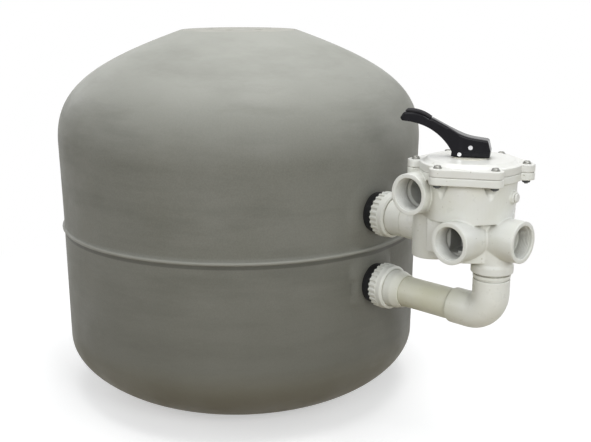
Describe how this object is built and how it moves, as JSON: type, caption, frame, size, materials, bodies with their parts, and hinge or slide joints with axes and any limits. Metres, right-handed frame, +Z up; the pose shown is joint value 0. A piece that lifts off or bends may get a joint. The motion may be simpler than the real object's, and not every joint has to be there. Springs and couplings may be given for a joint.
{
  "type": "pool sand filter",
  "caption": "Side-mount pool sand filter: squat grey moulded tank, unions to a multiport selector valve with press-and-turn handle, and a lower return elbow.",
  "frame": {"origin": "on the tank's axis at the floor", "axes": "+Z up along the tank's axis, +X out through the unions towards the valve, pump and return ports face -Y"},
  "size_m": [0.921, 0.646, 0.651],
  "materials": {
    "tank_plastic": "satin grey moulded plastic",
    "access_lid_plastic": "satin grey moulded plastic",
    "fitting_black": "black moulded plastic",
    "seal_rubber": "matte black rubber",
    "union_white": "white moulded plastic, satin",
    "pipe_white": "off-white pipe, slightly yellowed",
    "elbow_white": "off-white moulded plastic",
    "valve_white": "white moulded plastic, satin",
    "valve_lid_white": "white moulded plastic, satin",
    "bolt_steel": "stainless steel",
    "nut_steel": "dark coated steel",
    "pin_steel": "polished steel",
    "wear_washer_plastic": "plain bearing plastic",
    "rotor_plastic": "moulded plastic",
    "spring_steel": "stainless spring wire",
    "handle_plastic": "black glossy moulded plastic",
    "grip_plastic": "dark grey matte plastic",
    "inner_plastic": "plain moulded plastic"
  },
  "bodies": {
    "filter": {"air_relief_tube": "inner_plastic", "bottom_nipple": "elbow_white", "collector_pipe": "inner_plastic", "elbow": "elbow_white", "gauge_plug": "valve_lid_white", "inlet_diffuser": "inner_plastic", "inlet_riser": "inner_plastic", "lateral_hub": "inner_plastic", "laterals": "inner_plastic", "lid_bolts": "bolt_steel", "lid_nuts": "nut_steel", "lid_washers": "bolt_steel", "lower_bulkhead": "fitting_black", "lower_bulkhead_gasket": "seal_rubber", "lower_lock_nut": "fitting_black", "lower_pipe": "pipe_white", "lower_union_o_ring": "seal_rubber", "lower_union_tail": "union_white", "relief_strainer": "inner_plastic", "spider_gasket": "seal_rubber", "tank_lower_shell": "tank_plastic", "tank_upper_shell": "tank_plastic", "upper_bulkhead": "fitting_black", "upper_bulkhead_gasket": "seal_rubber", "upper_lock_nut": "fitting_black", "upper_union_o_ring": "seal_rubber", "upper_union_tail": "union_white", "valve_body": "valve_white", "valve_lid": "valve_lid_white", "valve_lid_o_ring": "seal_rubber", "wear_washer": "wear_washer_plastic"},
    "selector_ring": {"upper_spring_washer": "spring_steel", "spring": "spring_steel"},
    "diverter": {"rotor": "rotor_plastic", "lower_spring_washer": "spring_steel", "stem_o_rings": "seal_rubber", "pivot_pin": "pin_steel"},
    "lever": {"handle": "handle_plastic", "grip_pad": "grip_plastic", "fulcrum_pin": "pin_steel"},
    "upper_nut": {"upper_union_nut": "union_white"},
    "lower_nut": {"lower_union_nut": "union_white"},
    "lid_seal": {"access_lid_o_ring": "seal_rubber"},
    "access_cover": {"access_lid": "access_lid_plastic"}
  },
  "joints": [
    {"name": "selector_turn", "type": "hinge", "parent": "filter", "child": "selector_ring", "pos_m": [0.503, 0, 0.465], "axis": [0, 0, 1], "continuous": true},
    {"name": "rotor_lift", "type": "slide", "parent": "selector_ring", "child": "diverter", "axis": [0, 0, 1], "range_m": [0, 0.0075], "stiffness_N_per_m": 150, "springref_m": -0.01, "deforming": ["spring"]},
    {"name": "handle_press", "type": "hinge", "parent": "diverter", "child": "lever", "pos_m": [0.503, 0, 0.498], "axis": [0.5, -0.866, 0], "range_deg": [0, 15]},
    {"name": "upper_nut_turn", "type": "hinge", "parent": "filter", "child": "upper_nut", "pos_m": [0.35, 0, 0.371], "axis": [1, 0, 0], "continuous": true},
    {"name": "lower_nut_turn", "type": "hinge", "parent": "filter", "child": "lower_nut", "pos_m": [0.35, 0, 0.252], "axis": [1, 0, 0], "continuous": true},
    {"name": "access_lid_lift", "type": "slide", "parent": "filter", "child": "lid_seal", "axis": [0, 0, 1], "range_m": [0, 0.12]},
    {"name": "access_lid_turn", "type": "hinge", "parent": "lid_seal", "child": "access_cover", "pos_m": [0, 0, 0.64], "axis": [0, 0, 1], "continuous": true}
  ],
  "couplings": [
    {"joint": "rotor_lift", "follows": "handle_press", "m_per_rad": 0.028}
  ]
}
